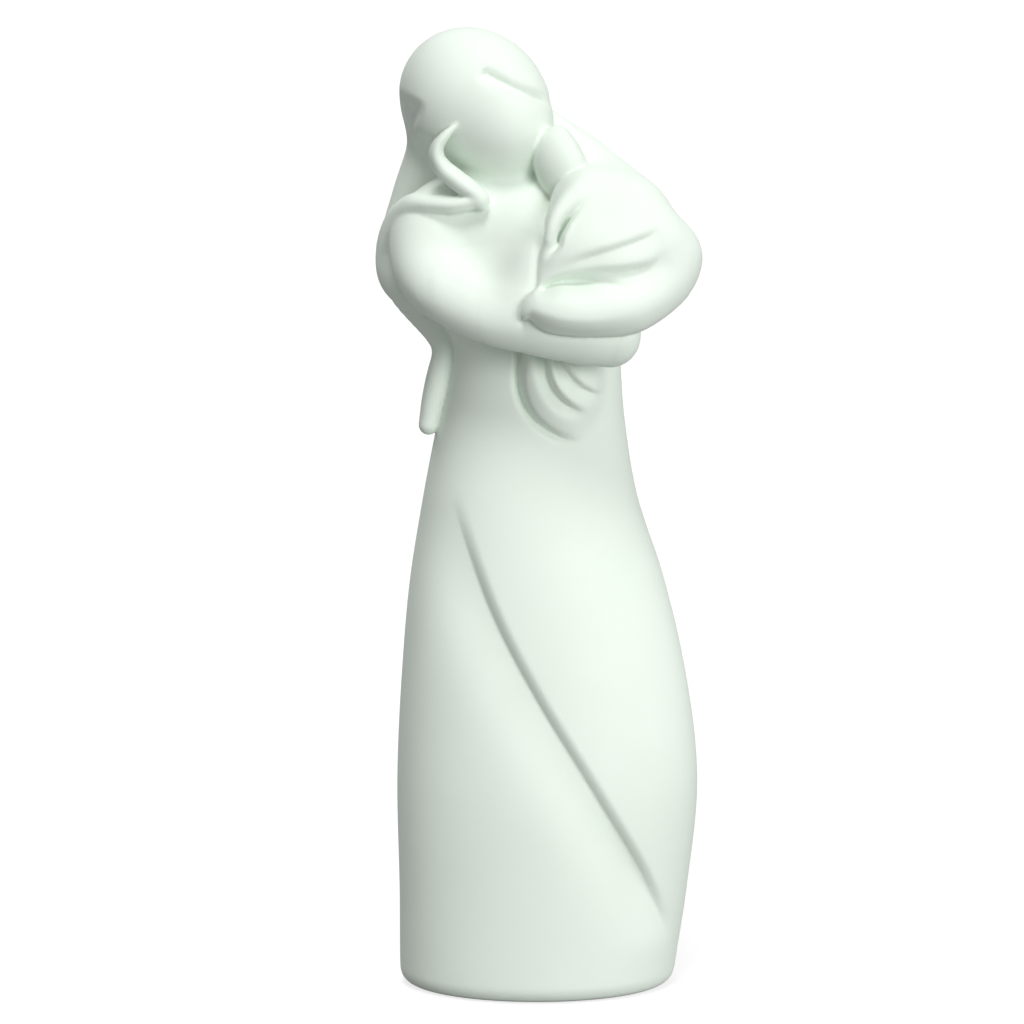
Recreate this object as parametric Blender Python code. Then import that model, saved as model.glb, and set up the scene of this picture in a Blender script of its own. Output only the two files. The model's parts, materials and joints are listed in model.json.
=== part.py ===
"""Standing figure of a mother holding her baby, cast in one piece of matt white ceramic.

The figure is modelled like clay: each mass is laid on the last one with a soft or a tight
join, the folds are pressed in, and the skin is then faceted.
+Z is up. The mother faces -Y. Her left arm and the baby are on the +X side.
"""
import math

import bpy
import numpy as np
import openvdb

# Real sizes, in metres
HEIGHT = 0.300
FOOT_WIDTH = 0.086
FOOT_DEPTH = 0.068
FOOT_ROUNDING = 0.0055
DRESS_FOLD_DEPTH = 0.0030
FACET_SIZE = 0.0014
LEVEL_ERROR = 0.00001

# Facets left on the whole figure
TRIANGLES = 8600

# The pose is written in parts, so many of them to the figure's height
PARTS_TALL = 300
PART = HEIGHT / PARTS_TALL
POSE_REACH = 50.0
ROOM = 8.0
SPREAD = max(FOOT_WIDTH / 2 / PART, FOOT_DEPTH / 2 / PART, POSE_REACH) + ROOM
LOW = np.array((-SPREAD, -SPREAD, -ROOM))
HIGH = np.array((SPREAD, SPREAD, PARTS_TALL + ROOM))

# Widths of the joins between masses, in parts, from a crease to a join that melts away
CREASE = 1.2
CLOSE = 1.5
TIGHT = 3.0
FIRM = 5.0
SOFT = 9.0
MELTED = 14.0

# Farthest distance kept in the clay, and the width over which a pressed fold ends at the sides
REACH = 16.0
EDGE = 2.0
SIDE_FADE = 6.0
CURVE_STEPS = 7
ROLL = 1.7
TINY = 1e-4

FRONT = (0, -1, 0)
BACK = (0, 1, 0)
RIGHT_SIDE = (-1, 0, 0)


def unit(vectors):
    """Vectors at length one."""
    return vectors / np.maximum(np.linalg.norm(vectors, axis=-1, keepdims=True), TINY)


def through(marks, values, where):
    """Smooth value at each place, passing through the values given at the marks."""
    marks = np.asarray(marks, float)
    values = np.asarray(values, float)
    slopes = np.gradient(values, marks, axis=0)
    where = np.clip(where, marks[0], marks[-1])
    left = np.clip(np.searchsorted(marks, where, side="right") - 1, 0, len(marks) - 2)
    span = marks[left + 1] - marks[left]
    t = (where - marks[left]) / span
    if values.ndim > 1:
        t = t[..., None]
        span = span[..., None]
    start = (1 + 2 * t) * (1 - t) ** 2 * values[left] + t * (1 - t) ** 2 * span * slopes[left]
    end = t * t * (3 - 2 * t) * values[left + 1] - t * t * (1 - t) * span * slopes[left + 1]
    return start + end


def along(values, steps=CURVE_STEPS):
    """Smooth curve through the given points or sizes, with even steps between each two."""
    values = np.asarray(values, float)
    marks = np.arange(len(values))
    return through(marks, values, np.linspace(0, len(values) - 1, (len(values) - 1) * steps + 1))


def softly(first, second, blend):
    """The smaller of two distances, with the join filled over the blend width."""
    overlap = np.maximum(blend - np.abs(first - second), 0) / blend
    return np.minimum(first, second) - overlap * overlap * blend / 4


class Clay:
    """Distance from the surface of a soft mass, negative inside, on an even grid in parts."""

    def __init__(self, step):
        self.step = step
        self.axes = [np.arange(LOW[i], HIGH[i], step, dtype=np.float32) for i in range(3)]
        self.depth = np.full([len(axis) for axis in self.axes], REACH, np.float32)

    def window(self, low, high):
        """Where a box starts and stops on each axis of the grid."""
        return [np.searchsorted(axis, edges) for axis, edges in zip(self.axes, zip(low, high))]

    def places(self, window):
        """Coordinates x, y and z over a window, ready to be spread over it."""
        x, y, z = [axis[start:stop] for axis, (start, stop) in zip(self.axes, window)]
        return x[:, None, None], y[None, :, None], z[None, None, :]

    def add(self, solids, blend):
        """Lay a shape made of simple solids on, joined over the blend width."""
        margin = blend + EDGE
        low = np.min([solid[0] for solid in solids], axis=0) - margin
        high = np.max([solid[1] for solid in solids], axis=0) + margin
        whole = self.window(low, high)
        mass = np.full([stop - start for start, stop in whole], REACH, np.float32)
        for low, high, distance in solids:
            window = self.window(low - margin, high + margin)
            inside = tuple(slice(a - w[0], b - w[0]) for (a, b), w in zip(window, whole))
            mass[inside] = np.minimum(mass[inside], distance(*self.places(window)))
        cuts = tuple(slice(*edges) for edges in whole)
        self.depth[cuts] = softly(self.depth[cuts], mass, blend)

    def join(self, other, blend):
        """Join another mass of clay on."""
        self.depth = softly(self.depth, other.depth, blend)

    def cut_below(self, height, rounding):
        """Slice the mass off flat, with a rounded edge."""
        z = self.axes[2][None, None, :]
        self.depth = -softly(-self.depth, z - height, rounding)

    def press(self, pressed):
        """Push the surface in by a pressed shape's amount."""
        low, high, amount = pressed
        window = self.window(low, high)
        self.depth[tuple(slice(*edges) for edges in window)] += amount(*self.places(window))


def oval_distance(offsets, radii):
    """Distance to an oval from its centre, by its own axes."""
    near = sum((offset / radius) ** 2 for offset, radius in zip(offsets, radii)) + TINY
    far = sum((offset / radius ** 2) ** 2 for offset, radius in zip(offsets, radii)) + TINY / 100
    return np.sqrt(near) * (np.sqrt(near) - 1) / np.sqrt(far)


def ball(centre, radii, lean=0.0, bow=0.0):
    """Egg or ball, leaned sideways toward +X and bowed toward -Y, in degrees."""
    lean = math.radians(lean)
    bow = math.radians(bow)
    centre = np.array(centre, float)
    side = np.array((math.cos(lean), 0, -math.sin(lean)))
    up = np.array((math.sin(lean) * math.cos(bow), -math.sin(bow), math.cos(lean) * math.cos(bow)))
    front = np.cross(up, side)

    def distance(x, y, z):
        offset = (x - centre[0], y - centre[1], z - centre[2])
        turned = [sum(o * a for o, a in zip(offset, axis)) for axis in (side, front, up)]
        return oval_distance(turned, radii)

    return [(centre - max(radii), centre + max(radii), distance)]


def limb(points, widths, thicks, face):
    """Round or flattened mass along a smooth curve, its flat side toward the face direction."""
    line = along(points)
    wide = along(widths)
    thick = along(thicks)
    heading = unit(np.gradient(line, axis=0))
    across = unit(np.cross(heading, np.array(face, float)))
    outward = np.cross(across, heading)
    return [stretch(line[i:i + 2], wide[i:i + 2], thick[i:i + 2], across[i:i + 2], outward[i:i + 2])
            for i in range(len(line) - 1)]


def stretch(line, wide, thick, across, outward):
    """One short straight stretch of a limb."""
    start = line[0]
    run = line[1] - line[0]
    frame = (unit(across.sum(axis=0)), unit(outward.sum(axis=0)), unit(run))

    def distance(x, y, z):
        offset = (x - start[0], y - start[1], z - start[2])
        t = np.clip(sum(o * r for o, r in zip(offset, run)) / (run @ run), 0, 1)
        offset = [o - t * r for o, r in zip(offset, run)]
        turned = [sum(o * a for o, a in zip(offset, axis)) for axis in frame]
        half_wide = wide[0] + t * (wide[1] - wide[0])
        half_thick = thick[0] + t * (thick[1] - thick[0])
        return oval_distance(turned, (half_wide, half_thick, half_thick))

    reach = max(wide.max(), thick.max())
    return line.min(axis=0) - reach, line.max(axis=0) + reach, distance


def fold(points, depth, gentle, steep, side=-1, ends=(0.15, 0.15)):
    """Pressed fold along a line of x and z, on the front (side -1) or the back (side 1).

    Going along the line, its left side, as seen from the front, rises steeply from the crease and
    its right side gently. The ends are the shares of the line over which it fades in and out.
    """
    line = along(points)
    tops = np.linspace(0, 1, len(line))

    def amount(x, y, z):
        nearest = np.full(np.broadcast_shapes(x.shape, z.shape), np.inf, np.float32)
        offset_side = np.zeros_like(nearest)
        place = np.zeros_like(nearest)
        for i in range(len(line) - 1):
            run = line[i + 1] - line[i]
            t = np.clip(((x - line[i, 0]) * run[0] + (z - line[i, 1]) * run[1]) / (run @ run), 0, 1)
            away_x = x - line[i, 0] - t * run[0]
            away_z = z - line[i, 1] - t * run[1]
            gap = np.hypot(away_x, away_z)
            closer = gap < nearest
            nearest = np.where(closer, gap, nearest)
            offset_side = np.where(closer, away_z * run[0] - away_x * run[1], offset_side)
            place = np.where(closer, tops[i] + t * (tops[i + 1] - tops[i]), place)
        slope = np.where(
            offset_side > 0,
            np.clip(1 - nearest / steep, 0, 1) ** ROLL,
            np.exp(-(nearest / gentle) ** 2),
        )
        fade = np.clip(np.minimum(place / ends[0], (1 - place) / ends[1]), 0, 1)
        fade = fade * fade * (3 - 2 * fade)
        facing = np.clip(side * y / SIDE_FADE + 0.5, 0, 1)
        return depth * fade * slope * facing

    spread = max(3 * gentle, steep)
    low = np.array((line[:, 0].min() - spread, LOW[1], line[:, 1].min() - spread))
    high = np.array((line[:, 0].max() + spread, HIGH[1], line[:, 1].max() + spread))
    return low, high, amount


def dress():
    """Long dress from the floor to the waist, widest over the knees."""
    levels = (-12, 0, 30, 66, 100, 130, 155, 180, 206, 226, 244)
    foot_half = FOOT_WIDTH / 2 / PART
    depth_half = FOOT_DEPTH / 2 / PART
    half_widths = (foot_half - 1, foot_half, foot_half + 2.3, foot_half + 4.2, 44.4, 39.5, 33.4, 28.9, 25,
                   22, 14)
    half_depths = (depth_half - 1, depth_half, depth_half + 1.5, depth_half + 2, 34, 30.5, 27, 24, 21.5,
                   18.5, 12)
    middle_x = (-2.2, -1.9, 0.1, 1.4, 0.2, -2, -4, -3.6, -1.8, -3, -6)
    middle_y = (0, 0, -0.5, -1, -0.5, 0.5, 1.5, 2.5, 3, 2.5, 1)

    def distance(x, y, z):
        half_x = through(levels, half_widths, z)
        half_y = through(levels, half_depths, z)
        offset_x = x - through(levels, middle_x, z)
        offset_y = y - through(levels, middle_y, z)
        above = np.maximum(z - levels[-1], 0)
        return oval_distance((offset_x, offset_y), (half_x, half_y)) + above

    widest = max(half_widths) + max(middle_x) - min(middle_x)
    deepest = max(half_depths) + max(middle_y) - min(middle_y)
    return [(np.array((-widest, -deepest, levels[0])), np.array((widest, deepest, levels[-1])), distance)]


def dress_folds():
    """The long fold that sweeps down across the front, and a soft one down the back."""
    front_line = ((-29, 160), (-24.5, 144), (-15.5, 120), (-2.5, 95.5), (13, 70), (28, 44), (36, 26),
                  (39.5, 14))
    front = fold(front_line, DRESS_FOLD_DEPTH / PART, 12, 4.8, ends=(0.3, 0.3))
    back = fold(((-6, 190), (4, 140), (2, 95), (14, 45)), 1.6, 12, 9, side=1, ends=(0.4, 0.4))
    return front, back


def right_arm():
    """Her right arm: from the shoulder round the elbow and under the baby to a blunt hand."""
    points = ((-25, -4, 239), (-33.5, -9, 235), (-36, -16, 226.5), (-30.5, -24, 219.5), (-17, -30.5, 213),
              (-2, -33.5, 209.5), (12, -33.5, 206.8), (20.4, -31, 206))
    wide = (11.5, 10.5, 9.3, 8.4, 8, 7.8, 7.8, 8)
    return limb(points, wide, wide, FRONT)


def left_upper_arm():
    """Her raised left shoulder and the upper arm, out to the elbow."""
    points = ((-1, 5, 266), (9.5, 0, 257.5), (20, -7, 249.5), (26, -13, 242.5), (31, -17, 235.5),
              (36.6, -20.5, 229.5))
    wide = (9.5, 11, 10.6, 10, 9.6, 10.4)
    return limb(points, wide, wide, FRONT)


def left_forearm():
    """Her left forearm, from the elbow back under the baby to a pointed end."""
    points = ((36.6, -20, 230), (34.6, -28, 223.5), (25, -36.5, 217), (14, -40.5, 215), (6, -42, 214.8),
              (0.5, -42, 214.8), (-2.6, -41, 215.4))
    wide = (10.4, 9.8, 9.3, 9.4, 9.2, 7.4, 4.4)
    return limb(points, wide, wide, FRONT)


def chest():
    """Chest and back above the waist."""
    return ball((-8, -2, 227), (31, 22, 26), lean=-8)


def shoulders():
    """Slope of the right shoulder, her side against the baby, throat, lap of the arms, neck."""
    slope = limb(((-14, -2, 249), (-24, -5, 245), (-33, -6, 239)), (10, 10.5, 10), (10, 11, 11), FRONT)
    near_side = ball((-3, -11, 229), (20, 17.5, 21))
    throat = ball((-8, -8, 242), (15, 12.5, 11.5))
    lap = ball((11, -15, 214), (20, 15, 12))
    neck = limb(((-8, 4, 236), (-12, 1, 250), (-16, -4, 264)), (13, 10.5, 11), (12, 10, 11), FRONT)
    return slope, near_side, throat, lap, neck


def mother_head():
    """Blank egg-shaped face, bowed toward the baby."""
    return ball((-13.2, -9.5, 271), (15.2, 18, 18.2), lean=-12, bow=12)


def hair_cap():
    """Smooth cap of hair over the head."""
    return ball((-21, -2, 276.9), (21.7, 23.5, 24.5), lean=-45)


def hair_fall():
    """Hair down her back, drawn over to her right side."""
    points = ((-23, 8, 280), (-24, 12, 262), (-27, 13, 245), (-29.5, 13, 230), (-30.5, 12, 218),
              (-31, 8, 207), (-30, 5, 198))
    wide = (18.5, 18.5, 20.5, 21.8, 18.5, 7, 3.2)
    return limb(points, wide, (13, 11, 10.5, 10, 9.5, 7, 3.6), BACK)


def hair_waves():
    """Long waves pressed into the hair down her back."""
    lines = (
        ((-13, 286), (-11, 264), (-13, 242), (-19, 223), (-28, 207)),
        ((-23, 290), (-24, 264), (-26, 241), (-28, 222), (-31, 205)),
        ((-32, 286), (-36, 263), (-39, 241), (-37, 222), (-33, 208)),
    )
    return [fold(line, 1.3, 4, 4, side=1) for line in lines]


def hair_behind_elbow():
    """Fullness of the hair between the sweep over the shoulder and the fall down her back."""
    return ball((-36, 2, 221), (7, 7, 10))


def hair_edges():
    """Edge of the fringe over the brow, edge of the layer over the ear, and the hollow beside the curl."""
    band_line = ((-19.7, 287), (-13.2, 283.6), (-6.8, 280.6), (-1.5, 278.3), (4, 275.2))
    band = fold(band_line, 2.4, 1.7, 3.6, ends=(0.07, 0.35))
    layer = fold(((-37.2, 278.6), (-39, 275), (-40.8, 271), (-42.5, 266)), 3.4, 7, 3, ends=(0.5, 0.2))
    hollow = fold(((-34, 268), (-37, 262), (-39, 254)), 2.2, 5, 8, ends=(0.45, 0.45))
    return band, layer, hollow


def hair_lock():
    """Loose end of the hair, lying on the dress."""
    points = ((-30, 3, 202), (-32.3, 0.5, 193), (-34.2, -1, 185), (-35.7, -2, 177))
    return limb(points, (4, 4.6, 4.6, 3.6), (3.4, 3.8, 3.6, 3.1), RIGHT_SIDE)


def shoulder_hair():
    """Lower sweep of the curl: back over the shoulder and down outside the arm."""
    points = ((-20.6, -23.3, 247.8), (-26.4, -21, 246.4), (-33, -17.5, 246.4), (-39.3, -13.1, 246),
              (-44.3, -7, 241), (-47, -2, 232), (-46.2, 0, 222), (-39, 2, 213))
    wide = (2.4, 2.7, 3.1, 3.6, 4.4, 4.8, 4.6, 3.4)
    return limb(points, wide, (3.5, 5, 5.5, 5, 4.4, 4.6, 4.6, 3.4), FRONT)


def curl():
    """Strand that curls from the temple round the cheek to the throat, and turns back."""
    points = ((-26.6, -23.6, 270.6), (-29.8, -24, 267.6), (-32.2, -22.9, 264.2), (-32.4, -21.9, 260.6),
              (-30.6, -21, 257.4), (-27.2, -21.1, 254.4), (-23.4, -21.8, 251.6), (-20.4, -22.7, 249.4),
              (-19.6, -23.5, 248))
    wide = (0.7, 1.5, 1.9, 2.4, 2.9, 3.1, 3.1, 2.9, 2.5)
    return limb(points, wide, (1, 2, 3.5, 4.5, 5, 5, 5, 4.5, 3.5), FRONT)


def baby_head():
    """Blank egg of the baby's head, its brow on the mother's cheek."""
    return ball((6.5, -18, 258), (9.2, 10.5, 12.8), lean=-20, bow=6)


def bundle():
    """Baby's wrapped body in the crook of the arm."""
    body = ball((19.5, -24, 237.5), (18.6, 14.5, 15), lean=-38)
    lap = limb(((-0.5, -33.5, 220.5), (4, -34.5, 227), (12, -36, 231), (22, -36, 232), (32, -31, 235)),
               (4.6, 6.3, 8, 8, 7.5), (5, 7, 8, 8, 7.5), FRONT)
    seat = ball((16, -28, 227), (17, 13, 12))
    breast = limb(((12, -25, 250), (9.5, -29, 243), (8, -31, 236)), (9, 8, 7), (8, 7, 7), FRONT)
    return body, lap, seat, breast


def collar():
    """Rolled edge of the wrap round the baby's chin, tucked in under the body of the wrap."""
    points = ((17, -26, 253), (11.2, -31, 251), (6.8, -35, 246.2), (4, -38, 241), (3, -38.8, 235.5),
              (3.6, -36, 229))
    return limb(points, (3.2, 3.6, 3.7, 3.5, 3.1, 2.6), (3, 3.6, 3.8, 3.6, 3.2, 2.6), FRONT)


def cradle():
    """Where the wrap's near edge melts into her chest."""
    return limb(((2, -30, 234), (-1, -31, 228), (-3, -31.5, 221)), (5, 5.5, 5), (5, 5.5, 5), FRONT)


def collar_crease():
    """Crease from the collar down to where the body of the wrap laps over it."""
    points = ((14, 250.2), (11.2, 246.9), (8.6, 243.8), (6.5, 240.9), (5, 237.6), (4.4, 235.2), (2.2, 232.6),
              (-0.6, 230))
    return fold(points, 3, 3.2, 1.3, ends=(0.45, 0.3))


def wrap_folds():
    """Two folds across the wrap, the edge on top of the forearm's roll, and the hollow under it."""
    upper_line = ((2, 227.7), (12.5, 231.5), (22, 234.4), (31.2, 237.6), (36.5, 241.5))
    upper = fold(upper_line, 1.6, 5, 2.6, ends=(0.35, 0.35))
    lower_line = ((0, 223.4), (9, 225.6), (16, 227), (25, 227.6), (32.2, 229.2), (37.5, 234))
    lower = fold(lower_line, 1.7, 5, 2.4, ends=(0.25, 0.35))
    top_line = ((36, 229), (31, 224), (24, 222.5), (17, 224), (10.4, 224.4), (3.5, 223.6), (-3, 219.5))
    roll_top = fold(top_line, 1.8, 1.5, 4.5, ends=(0.75, 0.12))
    under_line = ((-6.5, 213.5), (-3, 212.2), (0.5, 211), (5.6, 209.6), (12.6, 209), (19.2, 209.4),
                  (25.7, 211), (30, 213))
    roll_under = fold(under_line, 2.6, 7, 4.4, ends=(0.1, 0.6))
    return upper, lower, roll_top, roll_under


def gathered_cloth():
    """Fullness of the cloth that hangs below the arm and melts into the dress toward its end."""
    return ball((4, -12.5, 193), (14, 13.5, 22.5))


def cloth_folds():
    """Three lapped folds of the hanging cloth, each with its crisp edge toward her right side."""
    outer_line = ((-5.6, 206), (-6.9, 201), (-7.7, 194), (-7.2, 188.7), (-5.3, 183.8), (-2, 179.6),
                  (2.6, 176.2), (7.4, 174.3), (13, 173.6))
    outer = fold(outer_line, 3.2, 1.4, 2.6, ends=(0.05, 0.3))
    middle_line = ((0.6, 204), (0.8, 198), (1.3, 193.9), (2.9, 190), (5.6, 186.6), (9.5, 183.8), (14.5, 182))
    middle = fold(middle_line, 4, 2.6, 2, ends=(0.05, 0.35))
    inner_line = ((4.8, 204), (5.9, 198), (7.7, 194.5), (11, 190.9), (15.3, 188.4), (19.5, 187))
    inner = fold(inner_line, 2.8, 2.8, 1.8, ends=(0.05, 0.45))
    return outer, middle, inner


def baby_edge():
    """Thin crease between the baby's head and her shoulder, deepest over the collar."""
    line = ((4.5, 271.4), (7.8, 270.8), (10.4, 267.2), (13.6, 261), (15.2, 256.8), (17, 254.7))
    return fold(line, 3.4, 1.6, 1.3, ends=(0.4, 0.12))


def sculpt_body(step):
    """Dress, chest, shoulders and both arms."""
    body = Clay(step)
    body.add(dress(), CREASE)
    body.add(chest(), SOFT)
    body.add(gathered_cloth(), TIGHT)
    for pressed in (*dress_folds(), *cloth_folds()):
        body.press(pressed)
    upper = Clay(step)
    upper.add(chest(), SOFT)
    for mass in shoulders():
        upper.add(mass, SOFT)
    upper.add(right_arm(), MELTED)
    upper.add(left_upper_arm(), SOFT)
    upper.add(cradle(), MELTED)
    body.join(upper, CLOSE)
    return body


def sculpt_hair(step):
    """Cap of hair, its fall down the back, and the locks that leave it."""
    hair = Clay(step)
    hair.add(hair_cap(), CREASE)
    hair.add(hair_fall(), SOFT)
    for lock in (hair_lock(), shoulder_hair(), hair_behind_elbow()):
        hair.add(lock, TIGHT)
    for wave in hair_waves():
        hair.press(wave)
    return hair


def sculpt_wrap(step):
    """The wrapped baby, with the arm that the wrap runs into."""
    wrap = Clay(step)
    for mass in bundle():
        wrap.add(mass, SOFT)
    wrap.add(left_upper_arm(), MELTED)
    wrap.add(left_forearm(), FIRM)
    wrap.add(collar(), TIGHT)
    wrap.press(collar_crease())
    for pressed in wrap_folds():
        wrap.press(pressed)
    return wrap


def sculpt(step):
    """The whole figure as one mass of clay."""
    figure = sculpt_body(step)
    figure.join(sculpt_hair(step), CREASE)
    figure.add(mother_head(), FIRM)
    for edge in hair_edges():
        figure.press(edge)
    figure.add(curl(), CREASE)
    figure.add(baby_head(), CLOSE)
    figure.press(baby_edge())
    figure.join(sculpt_wrap(step), CREASE)
    figure.cut_below(0, FOOT_ROUNDING / PART)
    return figure


def outer_skin(points, faces):
    """The skin that the lowest point lies on, so that a hollow closed inside the clay is filled."""
    reached = np.zeros(len(points), bool)
    reached[np.argmin(points[:, 2])] = True
    count = 0
    while reached.sum() > count:
        count = reached.sum()
        reached[faces[reached[faces].any(axis=1)]] = True
    numbers = np.cumsum(reached) - 1
    return points[reached], numbers[faces[reached[faces[:, 0]]]]


def skin(figure):
    """Points and faces of the clay's surface, in metres."""
    grid = openvdb.FloatGrid(float(REACH))
    grid.copyFromArray(np.ascontiguousarray(figure.depth))
    points, faces = outer_skin(*grid.convertToQuads(0.0))
    points = (points * figure.step + LOW) * PART
    points[np.abs(points[:, 2]) < LEVEL_ERROR, 2] = 0
    centre = (points[:, :2].min(axis=0) + points[:, :2].max(axis=0)) / 2
    points[:, :2] -= centre
    return points, faces


def ceramic():
    """Matt white fired ceramic, faintly green."""
    material = bpy.data.materials.new("white_ceramic")
    material.use_nodes = True
    surface = material.node_tree.nodes["Principled BSDF"]
    surface.inputs["Base Color"].default_value = (0.86, 0.89, 0.86, 1)
    surface.inputs["Roughness"].default_value = 0.5
    surface.inputs["Metallic"].default_value = 0
    return material


def build_figure():
    """The figure as one faceted object."""
    points, faces = skin(sculpt(FACET_SIZE / PART))
    mesh = bpy.data.meshes.new("mother_and_child")
    mesh.from_pydata(points.tolist(), [], faces.tolist())
    mesh.shade_smooth()
    mesh.materials.append(ceramic())
    figure = bpy.data.objects.new("mother_and_child", mesh)
    bpy.context.collection.objects.link(figure)
    facets = figure.modifiers.new("facets", "DECIMATE")
    facets.ratio = TRIANGLES / (2 * len(faces))
    return figure


for old in list(bpy.data.objects):
    bpy.data.objects.remove(old)
build_figure()
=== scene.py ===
"""Mother and child in matt white ceramic: the fine surface, its finish, and a plain pale studio."""
import json
import math

import bpy
import numpy as np
import openvdb
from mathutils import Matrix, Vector

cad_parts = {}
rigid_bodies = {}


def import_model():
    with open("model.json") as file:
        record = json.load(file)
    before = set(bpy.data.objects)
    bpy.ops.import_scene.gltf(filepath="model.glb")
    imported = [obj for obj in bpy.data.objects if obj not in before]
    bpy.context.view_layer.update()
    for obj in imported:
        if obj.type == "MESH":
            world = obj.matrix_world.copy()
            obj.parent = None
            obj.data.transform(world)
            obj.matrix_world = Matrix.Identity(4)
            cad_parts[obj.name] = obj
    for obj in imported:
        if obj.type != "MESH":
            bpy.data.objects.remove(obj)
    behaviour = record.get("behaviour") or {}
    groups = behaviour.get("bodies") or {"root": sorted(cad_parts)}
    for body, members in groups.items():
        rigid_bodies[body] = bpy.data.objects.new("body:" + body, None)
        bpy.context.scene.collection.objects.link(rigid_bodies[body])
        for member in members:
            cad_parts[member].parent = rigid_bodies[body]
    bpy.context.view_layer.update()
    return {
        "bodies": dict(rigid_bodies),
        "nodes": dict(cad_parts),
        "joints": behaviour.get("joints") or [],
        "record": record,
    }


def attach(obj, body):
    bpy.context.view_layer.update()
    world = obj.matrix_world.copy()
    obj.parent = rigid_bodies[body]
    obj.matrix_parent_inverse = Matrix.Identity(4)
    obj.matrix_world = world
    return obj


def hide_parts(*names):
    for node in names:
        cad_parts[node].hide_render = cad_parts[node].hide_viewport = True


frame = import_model()

# Real sizes, in metres
HEIGHT = 0.300
FOOT_WIDTH = 0.086
FOOT_DEPTH = 0.068
FOOT_ROUNDING = 0.0055
DRESS_FOLD_DEPTH = 0.0030

# How far from the floor a point still counts as on it, in metres
LEVEL_ERROR = 0.00001

# Triangles left on the fine surface, and the step of its grid in parts
FINE_TRIANGLES = 190000
FINE_STEP = 0.6

# The pose is written in parts, so many of them to the figure's height
PARTS_TALL = 300
PART = HEIGHT / PARTS_TALL

# Box of the clay's grid, in parts: how far the pose reaches from the middle, and the room round it
POSE_REACH = 50.0
ROOM = 8.0
SPREAD = max(FOOT_WIDTH / 2 / PART, FOOT_DEPTH / 2 / PART, POSE_REACH) + ROOM
LOW = np.array((-SPREAD, -SPREAD, -ROOM))
HIGH = np.array((SPREAD, SPREAD, PARTS_TALL + ROOM))

# Widths of the joins between masses, in parts, from a scored crease to a join that melts away
SCORED = 0
CREASE = 0.8
CLOSE = 1.5
TIGHT = 3.0
FIRM = 5.0
SOFT = 9.0
MELTED = 14.0

# The line scored along such a crease, in parts
SCORE_DEPTH = 0.3
SCORE_WIDTH = 1.6

# Farthest distance kept in the clay, and the margin worked out round each mass, in parts
REACH = 16.0
EDGE = 2.0

# Straight stretches from each point of a curve to the next
CURVE_STEPS = 7

# Pressed folds: how their steep side rounds off, how many of its own widths their gentle side
# runs on for, and the depth in parts over which they end at the figure's sides
ROLL = 1.7
GENTLE_REACH = 3
SIDE_FADE = 6.0

# Small amounts that keep a division away from nothing
TINY = 1e-4
TINIEST = TINY / 100

# Directions
FRONT = (0, -1, 0)
BACK = (0, 1, 0)
RIGHT_SIDE = (-1, 0, 0)

# Finish of the ceramic: its two tones, and how the noise is shared between them
DEEP_TONE = (0.78, 0.865, 0.78, 1)
PALE_TONE = (0.81, 0.89, 0.81, 1)
DEEP_SHARE = 0.3
PALE_SHARE = 0.7

# Its noises, in patches to the metre, and the grain's height in metres
CLOUD_SCALE = 26
CLOUD_DETAIL = 3
GRAIN_SCALE = 1400
GRAIN_DETAIL = 2
GRAIN_STRENGTH = 0.12
GRAIN_HEIGHT = 0.0002

# Its matt surface
CERAMIC_ROUGHNESS = 0.62
CERAMIC_SHINE = 0.3

# The camera, in metres and degrees, its lens and sensor in millimetres
CAMERA_DISTANCE = 1.3
CAMERA_HEIGHT_ANGLE = 7.0
CAMERA_AIM = (-0.0080, 0, 0.1504)
CAMERA_LENS = 147.1
CAMERA_SENSOR = 36

# The floor in metres, with its own glow in the camera's eye
FLOOR_WIDTH = 6000
FLOOR_TONE = 0.3
FLOOR_ROUGHNESS = 0.9
FLOOR_GLOW = 0.76

# The surround's strength as a light, and as the camera sees it
SURROUND_LIGHT = 0.32
SURROUND_SEEN = 1.0
WHITE = (1, 1, 1, 1)

# The lamps: name, turn from the front toward +X, height and softness in degrees, and strength
LAMPS = (
    ("top_lamp", -10, 64, 20, 1.5),
    ("front_right_lamp", 30, 12, 25, 1.55),
    ("right_lamp", 90, 12, 25, 0.5),
    ("back_lamp", 200, 45, 30, 0.7),
)


def unit(vectors):
    """Vectors at length one."""
    return vectors / np.maximum(np.linalg.norm(vectors, axis=-1, keepdims=True), TINY)


def through(marks, values, where):
    """Smooth value at each place, passing through the values given at the marks."""
    marks = np.asarray(marks, float)
    values = np.asarray(values, float)
    slopes = np.gradient(values, marks, axis=0)
    where = np.clip(where, marks[0], marks[-1])
    left = np.clip(np.searchsorted(marks, where, side="right") - 1, 0, len(marks) - 2)
    span = marks[left + 1] - marks[left]
    t = (where - marks[left]) / span
    if values.ndim > 1:
        t = t[..., None]
        span = span[..., None]
    start = (1 + 2 * t) * (1 - t) ** 2 * values[left] + t * (1 - t) ** 2 * span * slopes[left]
    end = t * t * (3 - 2 * t) * values[left + 1] - t * t * (1 - t) * span * slopes[left + 1]
    return start + end


def along(values):
    """Smooth curve through the given points or sizes, with even steps between each two."""
    values = np.asarray(values, float)
    marks = np.arange(len(values))
    return through(marks, values, np.linspace(0, marks[-1], marks[-1] * CURVE_STEPS + 1))


def softly(first, second, blend):
    """The smaller of two distances: the join is filled over the blend width, or scored if it has none."""
    gap = np.abs(first - second)
    if blend == SCORED:
        return np.minimum(first, second) + SCORE_DEPTH * np.clip(1 - gap / SCORE_WIDTH, 0, 1)
    overlap = np.maximum(blend - gap, 0) / blend
    return np.minimum(first, second) - overlap * overlap * blend / 4


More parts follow.
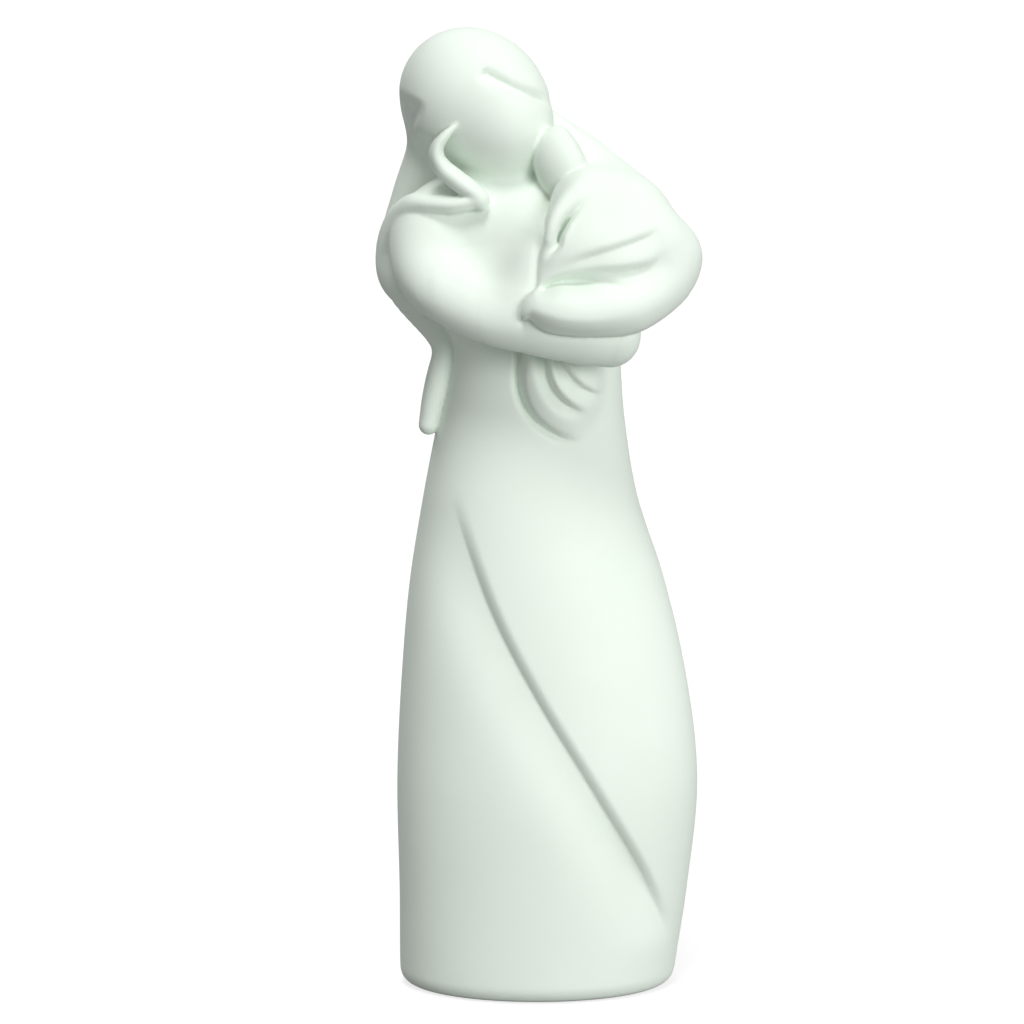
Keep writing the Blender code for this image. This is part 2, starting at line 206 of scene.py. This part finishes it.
class Clay:
    """Distance from the surface of a soft mass, negative inside, on an even grid in parts."""

    def __init__(self, step):
        self.step = step
        self.axes = [np.arange(LOW[i], HIGH[i], step, dtype=np.float32) for i in range(3)]
        self.depth = np.full([len(axis) for axis in self.axes], REACH, np.float32)

    def window(self, low, high):
        """Where a box starts and stops on each axis of the grid."""
        return [np.searchsorted(axis, edges) for axis, edges in zip(self.axes, zip(low, high))]

    def places(self, window):
        """Coordinates x, y and z over a window, ready to be spread over it."""
        x, y, z = [axis[start:stop] for axis, (start, stop) in zip(self.axes, window)]
        return x[:, None, None], y[None, :, None], z[None, None, :]

    def add(self, solids, blend):
        """Lay a shape made of simple solids on, joined over the blend width."""
        margin = blend + EDGE
        low = np.min([solid[0] for solid in solids], axis=0) - margin
        high = np.max([solid[1] for solid in solids], axis=0) + margin
        whole = self.window(low, high)
        mass = np.full([stop - start for start, stop in whole], REACH, np.float32)
        for low, high, distance in solids:
            window = self.window(low - margin, high + margin)
            inside = tuple(slice(a - w[0], b - w[0]) for (a, b), w in zip(window, whole))
            mass[inside] = np.minimum(mass[inside], distance(*self.places(window)))
        cuts = tuple(slice(*edges) for edges in whole)
        self.depth[cuts] = softly(self.depth[cuts], mass, blend)

    def join(self, other, blend):
        """Join another mass of clay on."""
        self.depth = softly(self.depth, other.depth, blend)

    def cut_below(self, height, rounding):
        """Slice the mass off flat, with a rounded edge."""
        z = self.axes[2][None, None, :]
        self.depth = -softly(-self.depth, z - height, rounding)

    def press(self, pressed):
        """Push the surface in by a pressed shape's amount."""
        low, high, amount = pressed
        window = self.window(low, high)
        self.depth[tuple(slice(*edges) for edges in window)] += amount(*self.places(window))


def oval_distance(offsets, radii):
    """Distance to an oval from its centre, by its own axes."""
    near = sum((offset / radius) ** 2 for offset, radius in zip(offsets, radii)) + TINY
    far = sum((offset / radius ** 2) ** 2 for offset, radius in zip(offsets, radii)) + TINIEST
    return np.sqrt(near) * (np.sqrt(near) - 1) / np.sqrt(far)


def ball(centre, radii, lean=0.0, bow=0.0):
    """Egg or ball, leaned sideways toward +X and bowed toward -Y, in degrees."""
    lean = math.radians(lean)
    bow = math.radians(bow)
    centre = np.array(centre, float)
    side = np.array((math.cos(lean), 0, -math.sin(lean)))
    up = np.array((math.sin(lean) * math.cos(bow), -math.sin(bow), math.cos(lean) * math.cos(bow)))
    front = np.cross(up, side)

    def distance(x, y, z):
        offset = (x - centre[0], y - centre[1], z - centre[2])
        turned = [sum(o * a for o, a in zip(offset, axis)) for axis in (side, front, up)]
        return oval_distance(turned, radii)

    return [(centre - max(radii), centre + max(radii), distance)]


def limb(points, widths, thicks, face):
    """Round or flattened mass along a smooth curve, its flat side toward the face direction."""
    line = along(points)
    wide = along(widths)
    thick = along(thicks)
    heading = unit(np.gradient(line, axis=0))
    across = unit(np.cross(heading, np.array(face, float)))
    outward = np.cross(across, heading)
    return [stretch(line[i:i + 2], wide[i:i + 2], thick[i:i + 2], across[i:i + 2], outward[i:i + 2])
            for i in range(len(line) - 1)]


def stretch(line, wide, thick, across, outward):
    """One short straight stretch of a limb."""
    start = line[0]
    run = line[1] - line[0]
    frame = (unit(across.sum(axis=0)), unit(outward.sum(axis=0)), unit(run))

    def distance(x, y, z):
        offset = (x - start[0], y - start[1], z - start[2])
        t = np.clip(sum(o * r for o, r in zip(offset, run)) / (run @ run), 0, 1)
        offset = [o - t * r for o, r in zip(offset, run)]
        turned = [sum(o * a for o, a in zip(offset, axis)) for axis in frame]
        half_wide = wide[0] + t * (wide[1] - wide[0])
        half_thick = thick[0] + t * (thick[1] - thick[0])
        return oval_distance(turned, (half_wide, half_thick, half_thick))

    reach = max(wide.max(), thick.max())
    return line.min(axis=0) - reach, line.max(axis=0) + reach, distance


def fold(points, depth, gentle, steep, side=-1, ends=(0.15, 0.15)):
    """Pressed fold along a line of x and z, on the front (side -1) or the back (side 1).

    Going along the line, its left side, as seen from the front, rises steeply from the crease and
    its right side gently. The ends are the shares of the line over which it fades in and out.
    """
    line = along(points)
    shares = np.linspace(0, 1, len(line))

    def amount(x, y, z):
        nearest = np.full(np.broadcast_shapes(x.shape, z.shape), np.inf, np.float32)
        offset_side = np.zeros_like(nearest)
        place = np.zeros_like(nearest)
        for i in range(len(line) - 1):
            run = line[i + 1] - line[i]
            t = np.clip(((x - line[i, 0]) * run[0] + (z - line[i, 1]) * run[1]) / (run @ run), 0, 1)
            away_x = x - line[i, 0] - t * run[0]
            away_z = z - line[i, 1] - t * run[1]
            gap = np.hypot(away_x, away_z)
            closer = gap < nearest
            nearest = np.where(closer, gap, nearest)
            offset_side = np.where(closer, away_z * run[0] - away_x * run[1], offset_side)
            place = np.where(closer, shares[i] + t * (shares[i + 1] - shares[i]), place)
        slope = np.where(
            offset_side > 0,
            np.clip(1 - nearest / steep, 0, 1) ** ROLL,
            np.exp(-(nearest / gentle) ** 2),
        )
        fade = np.clip(np.minimum(place / ends[0], (1 - place) / ends[1]), 0, 1)
        fade = fade * fade * (3 - 2 * fade)
        facing = np.clip(side * y / SIDE_FADE + 0.5, 0, 1)
        return depth * fade * slope * facing

    spread = max(GENTLE_REACH * gentle, steep)
    low = np.array((line[:, 0].min() - spread, LOW[1], line[:, 1].min() - spread))
    high = np.array((line[:, 0].max() + spread, HIGH[1], line[:, 1].max() + spread))
    return low, high, amount


def dress():
    """Long dress from the floor to the waist, widest over the knees."""
    levels = (-12, 0, 30, 66, 100, 130, 155, 180, 206, 226, 244)
    foot_half = FOOT_WIDTH / 2 / PART
    depth_half = FOOT_DEPTH / 2 / PART
    half_widths = (foot_half - 1, foot_half, foot_half + 2.3, foot_half + 4.2, 44.4, 39.5, 33.4, 28.9, 25,
                   22, 14)
    half_depths = (depth_half - 1, depth_half, depth_half + 1.5, depth_half + 2, 34, 30.5, 27, 24, 21.5,
                   18.5, 12)
    middle_x = (-2.2, -1.9, 0.1, 1.4, 0.2, -2, -4, -3.6, -1.8, -3, -6)
    middle_y = (0, 0, -0.5, -1, -0.5, 0.5, 1.5, 2.5, 3, 2.5, 1)

    def distance(x, y, z):
        half_x = through(levels, half_widths, z)
        half_y = through(levels, half_depths, z)
        offset_x = x - through(levels, middle_x, z)
        offset_y = y - through(levels, middle_y, z)
        above = np.maximum(z - levels[-1], 0)
        return oval_distance((offset_x, offset_y), (half_x, half_y)) + above

    widest = max(half_widths) + max(middle_x) - min(middle_x)
    deepest = max(half_depths) + max(middle_y) - min(middle_y)
    return [(np.array((-widest, -deepest, levels[0])), np.array((widest, deepest, levels[-1])), distance)]


def dress_folds():
    """The long fold that sweeps down across the front, and a soft one down the back."""
    front_line = ((-29, 160), (-24.5, 144), (-15.5, 120), (-2.5, 95.5), (13, 70), (28, 44), (36, 26),
                  (39.5, 14))
    front = fold(front_line, DRESS_FOLD_DEPTH / PART, 12, 3.6, ends=(0.3, 0.3))
    back = fold(((-6, 190), (4, 140), (2, 95), (14, 45)), 1.6, 12, 9, side=1, ends=(0.4, 0.4))
    return front, back


def right_arm():
    """Her right arm: from the shoulder round the elbow and under the baby to a blunt hand."""
    points = ((-25, -4, 239), (-33.5, -9, 235), (-36, -16, 226.5), (-30.5, -24, 219.5), (-17, -30.5, 213),
              (-2, -33.5, 209.5), (12, -33.5, 206.8), (20.4, -31, 206))
    wide = (11.5, 10.5, 9.3, 8.4, 8, 7.8, 7.8, 8)
    return limb(points, wide, wide, FRONT)


def left_upper_arm():
    """Her raised left shoulder and the upper arm, out to the elbow."""
    points = ((-1, 5, 266), (9.5, 0, 257.5), (20, -7, 249.5), (26, -13, 242.5), (31, -17, 235.5),
              (36.6, -20.5, 229.5))
    wide = (9.5, 11, 10.6, 10, 9.6, 10.4)
    return limb(points, wide, wide, FRONT)


def left_forearm():
    """Her left forearm, from the elbow back under the baby to a pointed end."""
    points = ((36.6, -20, 230), (34.6, -28, 223.5), (25, -36.5, 217), (14, -40.5, 215), (6, -42, 214.8),
              (0.5, -42, 214.8), (-2.6, -41, 215.4))
    wide = (10.4, 9.8, 9.3, 9.4, 9.2, 7.4, 4.4)
    return limb(points, wide, wide, FRONT)


def chest():
    """Chest and back above the waist."""
    return ball((-8, -2, 227), (31, 22, 26), lean=-8)


def shoulders():
    """Slope of the right shoulder, her side against the baby, throat, lap of the arms, neck."""
    slope = limb(((-14, -2, 249), (-24, -5, 245), (-33, -6, 239)), (10, 10.5, 10), (10, 11, 11), FRONT)
    near_side = ball((-3, -11, 229), (20, 17.5, 21))
    throat = ball((-8, -8, 242), (15, 12.5, 11.5))
    lap = ball((11, -15, 214), (20, 15, 12))
    neck = limb(((-8, 4, 236), (-12, 1, 250), (-16, -4, 264)), (13, 10.5, 11), (12, 10, 11), FRONT)
    return slope, near_side, throat, lap, neck


def mother_head():
    """Blank egg-shaped face, bowed toward the baby."""
    return ball((-13.2, -9.5, 271), (15.2, 18, 18.2), lean=-12, bow=12)


def hair_cap():
    """Smooth cap of hair over the head."""
    return ball((-21, -2, 276.9), (21.7, 23.5, 24.5), lean=-45)


def hair_fall():
    """Hair down her back, drawn over to her right side."""
    points = ((-23, 8, 280), (-24, 12, 262), (-27, 13, 245), (-29.5, 13, 230), (-30.5, 12, 218),
              (-31, 8, 207), (-30, 5, 198))
    wide = (18.5, 18.5, 20.5, 21.8, 18.5, 7, 3.2)
    return limb(points, wide, (13, 11, 10.5, 10, 9.5, 7, 3.6), BACK)


def hair_waves():
    """Long waves pressed into the hair down her back."""
    lines = (
        ((-13, 286), (-11, 264), (-13, 242), (-19, 223), (-28, 207)),
        ((-23, 290), (-24, 264), (-26, 241), (-28, 222), (-31, 205)),
        ((-32, 286), (-36, 263), (-39, 241), (-37, 222), (-33, 208)),
    )
    return [fold(line, 1.3, 4, 4, side=1) for line in lines]


def hair_behind_elbow():
    """Fullness of the hair between the sweep over the shoulder and the fall down her back."""
    return ball((-36, 2, 221), (7, 7, 10))


def hair_edges():
    """Edge of the fringe over the brow, edge of the layer over the ear, and the hollow beside the curl."""
    band_line = ((-19.7, 287), (-13.2, 283.6), (-6.8, 280.6), (-1.5, 278.3), (4, 275.2))
    band = fold(band_line, 2.4, 1.7, 3.6, ends=(0.07, 0.35))
    layer = fold(((-37.2, 278.6), (-39, 275), (-40.8, 271), (-42.5, 266)), 3.4, 7, 3, ends=(0.5, 0.2))
    hollow = fold(((-34, 268), (-37, 262), (-39, 254)), 2.2, 5, 8, ends=(0.45, 0.45))
    return band, layer, hollow


def hair_lock():
    """Loose end of the hair, lying on the dress."""
    points = ((-30, 3, 202), (-32.3, 0.5, 193), (-34.2, -1, 185), (-35.7, -2, 177))
    return limb(points, (4, 4.6, 4.6, 3.6), (3.4, 3.8, 3.6, 3.1), RIGHT_SIDE)


def shoulder_hair():
    """Lower sweep of the curl: back over the shoulder and down outside the arm."""
    points = ((-20.6, -23.3, 247.8), (-26.4, -21, 246.4), (-33, -17.5, 246.4), (-39.3, -13.1, 246),
              (-44.3, -7, 241), (-47, -2, 232), (-46.2, 0, 222), (-39, 2, 213))
    wide = (2.4, 2.7, 3.1, 3.6, 4.4, 4.8, 4.6, 3.4)
    return limb(points, wide, (3.5, 5, 5.5, 5, 4.4, 4.6, 4.6, 3.4), FRONT)


def curl():
    """Strand that curls from the temple round the cheek to the throat, and turns back."""
    points = ((-26.6, -23.6, 270.6), (-29.8, -24, 267.6), (-32.2, -22.9, 264.2), (-32.4, -21.9, 260.6),
              (-30.6, -21, 257.4), (-27.2, -21.1, 254.4), (-23.4, -21.8, 251.6), (-20.4, -22.7, 249.4),
              (-19.6, -23.5, 248))
    wide = (0.7, 1.5, 1.9, 2.4, 2.9, 3.1, 3.1, 2.9, 2.5)
    return limb(points, wide, (1, 2, 3.5, 4.5, 5, 5, 5, 4.5, 3.5), FRONT)


def baby_head():
    """Blank egg of the baby's head, its brow on the mother's cheek."""
    return ball((6.5, -18, 258), (9.2, 10.5, 12.8), lean=-20, bow=6)


def bundle():
    """Baby's wrapped body in the crook of the arm."""
    body = ball((19.5, -24, 237.5), (18.6, 14.5, 15), lean=-38)
    lap = limb(((-0.5, -33.5, 220.5), (4, -34.5, 227), (12, -36, 231), (22, -36, 232), (32, -31, 235)),
               (4.6, 6.3, 8, 8, 7.5), (5, 7, 8, 8, 7.5), FRONT)
    seat = ball((16, -28, 227), (17, 13, 12))
    breast = limb(((12, -25, 250), (9.5, -29, 243), (8, -31, 236)), (9, 8, 7), (8, 7, 7), FRONT)
    return body, lap, seat, breast


def collar():
    """Rolled edge of the wrap round the baby's chin, tucked in under the body of the wrap."""
    points = ((17, -26, 253), (11.2, -31, 251), (6.8, -35, 246.2), (4, -38, 241), (3, -38.8, 235.5),
              (3.6, -36, 229))
    return limb(points, (3.2, 3.6, 3.7, 3.5, 3.1, 2.6), (3, 3.6, 3.8, 3.6, 3.2, 2.6), FRONT)


def cradle():
    """Where the wrap's near edge melts into her chest."""
    return limb(((2, -30, 234), (-1, -31, 228), (-3, -31.5, 221)), (5, 5.5, 5), (5, 5.5, 5), FRONT)


def collar_crease():
    """Crease from the collar down to where the body of the wrap laps over it."""
    points = ((14, 250.2), (11.2, 246.9), (8.6, 243.8), (6.5, 240.9), (5, 237.6), (4.4, 235.2), (2.2, 232.6),
              (-0.6, 230))
    return fold(points, 3, 3.2, 1.3, ends=(0.45, 0.3))


def wrap_folds():
    """Two folds across the wrap, the edge on top of the forearm's roll, and the flat facet under it."""
    upper_line = ((2, 227.7), (12.5, 231.5), (22, 234.4), (31.2, 237.6), (36.5, 241.5))
    upper = fold(upper_line, 1.6, 5, 2.6, ends=(0.35, 0.35))
    lower_line = ((0, 223.4), (9, 225.6), (16, 227), (25, 227.6), (32.2, 229.2), (37.5, 234))
    lower = fold(lower_line, 1.7, 5, 2.4, ends=(0.25, 0.35))
    top_line = ((36, 229), (31, 224), (24, 222.5), (17, 224), (10.4, 224.4), (3.5, 223.6), (-3, 219.5))
    roll_top = fold(top_line, 1.8, 1.5, 4.5, ends=(0.75, 0.12))
    under_line = ((-6.5, 213.5), (-3, 212.2), (0.5, 211), (5.6, 209.6), (12.6, 209), (19.2, 209.4),
                  (25.7, 211), (30, 213))
    roll_under = fold(under_line, 2.6, 7, 4.4, ends=(0.1, 0.6))
    return upper, lower, roll_top, roll_under


def gathered_cloth():
    """Fullness of the cloth that hangs below the arm and melts into the dress toward its end."""
    return ball((4, -12.5, 193), (14, 13.5, 22.5))


def cloth_folds():
    """Three lapped folds of the hanging cloth, each with its crisp edge toward her right side."""
    outer_line = ((-5.6, 206), (-6.9, 201), (-7.7, 194), (-7.2, 188.7), (-5.3, 183.8), (-2, 179.6),
                  (2.6, 176.2), (7.4, 174.3), (13, 173.6))
    outer = fold(outer_line, 3.2, 1.4, 2.6, ends=(0.05, 0.3))
    middle_line = ((0.6, 204), (0.8, 198), (1.3, 193.9), (2.9, 190), (5.6, 186.6), (9.5, 183.8), (14.5, 182))
    middle = fold(middle_line, 4, 2.6, 2, ends=(0.05, 0.35))
    inner_line = ((4.8, 204), (5.9, 198), (7.7, 194.5), (11, 190.9), (15.3, 188.4), (19.5, 187))
    inner = fold(inner_line, 2.8, 2.8, 1.8, ends=(0.05, 0.45))
    return outer, middle, inner


def baby_edge():
    """Thin crease between the baby's head and her shoulder, deepest over the collar."""
    line = ((4.5, 271.4), (7.8, 270.8), (10.4, 267.2), (13.6, 261), (15.2, 256.8), (17, 254.7))
    return fold(line, 3.4, 1.6, 1.3, ends=(0.4, 0.12))


def sculpt_body(step):
    """Dress and chest with their folds, then the shoulders and upper limbs laid closely over them."""
    body = Clay(step)
    body.add(dress(), CREASE)
    body.add(chest(), SOFT)
    body.add(gathered_cloth(), TIGHT)
    for pressed in (*dress_folds(), *cloth_folds()):
        body.press(pressed)
    upper = Clay(step)
    upper.add(chest(), SOFT)
    for mass in shoulders():
        upper.add(mass, SOFT)
    upper.add(right_arm(), MELTED)
    upper.add(left_upper_arm(), SOFT)
    upper.add(cradle(), MELTED)
    body.join(upper, CLOSE)
    return body


def sculpt_hair(step):
    """Cap of hair, its fall down the back, and the locks that leave it."""
    hair = Clay(step)
    hair.add(hair_cap(), CREASE)
    hair.add(hair_fall(), SOFT)
    for lock in (hair_lock(), shoulder_hair(), hair_behind_elbow()):
        hair.add(lock, TIGHT)
    for wave in hair_waves():
        hair.press(wave)
    return hair


def sculpt_wrap(step):
    """The wrapped baby, with the arm that the wrap runs into."""
    wrap = Clay(step)
    for mass in bundle():
        wrap.add(mass, SOFT)
    wrap.add(left_upper_arm(), MELTED)
    wrap.add(left_forearm(), FIRM)
    wrap.add(collar(), TIGHT)
    wrap.press(collar_crease())
    for pressed in wrap_folds():
        wrap.press(pressed)
    return wrap


def sculpt(step):
    """The whole figure as one mass of clay."""
    figure = sculpt_body(step)
    figure.join(sculpt_hair(step), CREASE)
    figure.add(mother_head(), FIRM)
    for edge in hair_edges():
        figure.press(edge)
    figure.add(curl(), CREASE)
    figure.add(baby_head(), CLOSE)
    figure.press(baby_edge())
    figure.join(sculpt_wrap(step), SCORED)
    figure.cut_below(0, FOOT_ROUNDING / PART)
    return figure


def outer_skin(points, faces):
    """The skin that the lowest point lies on, so that a hollow closed inside the clay is filled."""
    reached = np.zeros(len(points), bool)
    reached[np.argmin(points[:, 2])] = True
    count = 0
    while reached.sum() > count:
        count = reached.sum()
        reached[faces[reached[faces].any(axis=1)]] = True
    numbers = np.cumsum(reached) - 1
    return points[reached], numbers[faces[reached[faces[:, 0]]]]


def skin(figure):
    """Points and faces of the clay's surface, in metres."""
    grid = openvdb.FloatGrid(float(REACH))
    grid.copyFromArray(np.ascontiguousarray(figure.depth))
    points, faces = outer_skin(*grid.convertToQuads(0.0))
    points = (points * figure.step + LOW) * PART
    points[np.abs(points[:, 2]) < LEVEL_ERROR, 2] = 0
    centre = (points[:, :2].min(axis=0) + points[:, :2].max(axis=0)) / 2
    points[:, :2] -= centre
    return points, faces


def noise(tree, scale, detail):
    """Noise laid out by the piece's own coordinates."""
    place = tree.nodes.new("ShaderNodeTexCoord")
    pattern = tree.nodes.new("ShaderNodeTexNoise")
    pattern.inputs["Scale"].default_value = scale
    pattern.inputs["Detail"].default_value = detail
    tree.links.new(place.outputs["Object"], pattern.inputs["Vector"])
    return pattern.outputs["Fac"]


def white_ceramic():
    """Matt fired clay, faintly green, with a fine grain and a soft unevenness of tone."""
    material = bpy.data.materials.new("matt_white_ceramic")
    material.use_nodes = True
    tree = material.node_tree
    surface = tree.nodes["Principled BSDF"]

    tone = tree.nodes.new("ShaderNodeValToRGB")
    deep, pale = tone.color_ramp.elements
    deep.position = DEEP_SHARE
    deep.color = DEEP_TONE
    pale.position = PALE_SHARE
    pale.color = PALE_TONE
    tree.links.new(noise(tree, CLOUD_SCALE, CLOUD_DETAIL), tone.inputs["Fac"])
    tree.links.new(tone.outputs["Color"], surface.inputs["Base Color"])

    grain = tree.nodes.new("ShaderNodeBump")
    grain.inputs["Strength"].default_value = GRAIN_STRENGTH
    grain.inputs["Distance"].default_value = GRAIN_HEIGHT
    tree.links.new(noise(tree, GRAIN_SCALE, GRAIN_DETAIL), grain.inputs["Height"])
    tree.links.new(grain.outputs["Normal"], surface.inputs["Normal"])
    surface.inputs["Roughness"].default_value = CERAMIC_ROUGHNESS
    surface.inputs["Specular IOR Level"].default_value = CERAMIC_SHINE
    return material


def fine_figure():
    """The figure at its full fineness, standing for the solid one."""
    points, faces = skin(sculpt(FINE_STEP))
    mesh = bpy.data.meshes.new("mother_and_child_ceramic")
    mesh.from_pydata(points.tolist(), [], faces.tolist())
    mesh.shade_smooth()
    mesh.materials.append(white_ceramic())
    figure = bpy.data.objects.new("mother_and_child_ceramic", mesh)
    bpy.context.scene.collection.objects.link(figure)
    facets = figure.modifiers.new("facets", "DECIMATE")
    facets.ratio = min(1, FINE_TRIANGLES / (2 * len(faces)))
    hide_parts("mother_and_child")
    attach(figure, "root")


def floor_finish():
    """Pale matt studio floor: the camera sees it lit up to white, and it throws little light back up."""
    material = bpy.data.materials.new("pale_floor")
    material.use_nodes = True
    nodes = material.node_tree.nodes
    links = material.node_tree.links
    surface = nodes["Principled BSDF"]
    surface.inputs["Base Color"].default_value = (FLOOR_TONE, FLOOR_TONE, FLOOR_TONE, 1)
    surface.inputs["Roughness"].default_value = FLOOR_ROUGHNESS
    surface.inputs["Specular IOR Level"].default_value = 0
    surface.inputs["Emission Color"].default_value = WHITE
    seen = nodes.new("ShaderNodeLightPath")
    glow = nodes.new("ShaderNodeMath")
    glow.operation = "MULTIPLY"
    glow.inputs[1].default_value = FLOOR_GLOW
    links.new(seen.outputs["Is Camera Ray"], glow.inputs[0])
    links.new(glow.outputs["Value"], surface.inputs["Emission Strength"])
    return material


def studio_floor():
    """Flat floor under the figure, as wide as the eye can see."""
    bpy.ops.mesh.primitive_plane_add(size=FLOOR_WIDTH, location=(0, 0, 0))
    floor = bpy.context.object
    floor.name = "studio_floor"
    floor.data.materials.append(floor_finish())


def aim(thing, place, target):
    """Put a camera or a lamp in place and turn it to the target."""
    thing.location = place
    thing.rotation_euler = (Vector(place) - Vector(target)).to_track_quat("Z", "Y").to_euler()


def far_lamp(name, turn, height, softness, strength):
    """Big lamp far away, turned from the front toward +X, its height and softness in degrees too."""
    light = bpy.data.lights.new(name, "SUN")
    light.angle = math.radians(softness)
    light.energy = strength
    lamp = bpy.data.objects.new(name, light)
    bpy.context.scene.collection.objects.link(lamp)
    turn = math.radians(turn)
    height = math.radians(height)
    level = math.cos(height)
    aim(lamp, (level * math.sin(turn), -level * math.cos(turn), math.sin(height)), (0, 0, 0))


def studio_light():
    """Soft lamps above, low at the front right, and weaker at the right and behind; a pale surround."""
    for lamp in LAMPS:
        far_lamp(*lamp)
    world = bpy.data.worlds.new("surround")
    bpy.context.scene.world = world
    world.use_nodes = True
    nodes = world.node_tree.nodes
    seen = nodes.new("ShaderNodeLightPath")
    strength = nodes.new("ShaderNodeMapRange")
    strength.inputs["To Min"].default_value = SURROUND_LIGHT
    strength.inputs["To Max"].default_value = SURROUND_SEEN
    world.node_tree.links.new(seen.outputs["Is Camera Ray"], strength.inputs["Value"])
    world.node_tree.links.new(strength.outputs["Result"], nodes["Background"].inputs["Strength"])
    nodes["Background"].inputs["Color"].default_value = WHITE


def studio_camera():
    """Camera a little above the figure's middle, straight in front, with tones shown as they are."""
    lens = bpy.data.cameras.new("camera")
    lens.lens = CAMERA_LENS
    lens.sensor_width = CAMERA_SENSOR
    camera = bpy.data.objects.new("camera", lens)
    bpy.context.scene.collection.objects.link(camera)
    angle = math.radians(CAMERA_HEIGHT_ANGLE)
    back = Vector((0, -math.cos(angle), math.sin(angle))) * CAMERA_DISTANCE
    aim(camera, Vector(CAMERA_AIM) + back, CAMERA_AIM)
    bpy.context.scene.camera = camera
    bpy.context.scene.view_settings.view_transform = "Standard"


fine_figure()
studio_floor()
studio_light()
studio_camera()
